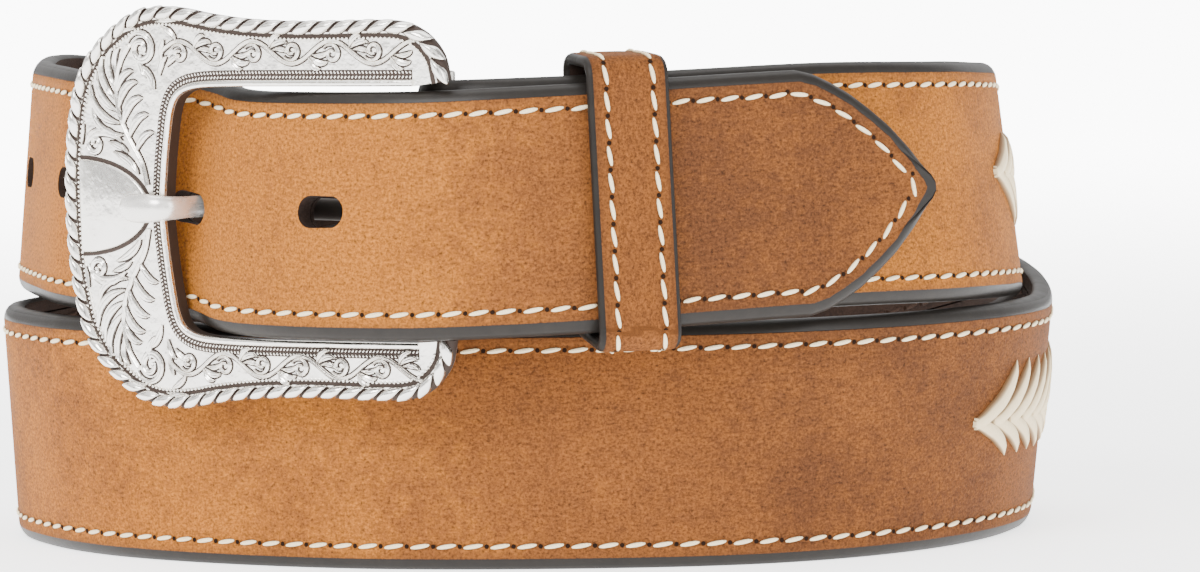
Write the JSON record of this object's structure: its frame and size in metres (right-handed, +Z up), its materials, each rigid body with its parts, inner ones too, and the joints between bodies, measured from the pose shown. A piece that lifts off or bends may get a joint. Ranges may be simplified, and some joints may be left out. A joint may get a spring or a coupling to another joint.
{
  "type": "buckled leather belt",
  "caption": "Stitched leather belt with a cast scrollwork buckle and chevron lacing, buckled, wound twice round and standing on its edge.",
  "frame": {"origin": "on the surface the belt stands on, at the middle of its outline seen from above", "axes": "+Z up, +X to the right along the buckled front, -Y out of the front toward whoever faces the buckle"},
  "size_m": [0.1739, 0.1506, 0.0882],
  "materials": {
    "tan_leather": "tan nubuck with dark painted edges",
    "dark_suede": "matt dark brown suede",
    "antique_silver": "cast silver plate, bright on the relief and brown in the hollows",
    "bright_silver": "polished silver plate",
    "keeper_leather": "tan nubuck with dark painted edges",
    "ivory_lace": "flat ivory lace, matt"
  },
  "bodies": {
    "root": {"strap": "tan_leather", "strap_lining": "dark_suede", "buckle_frame": "antique_silver", "prong": "bright_silver", "keeper": "keeper_leather", "lacing_upper": "ivory_lace", "lacing_lower": "ivory_lace"}
  },
  "joints": []
}
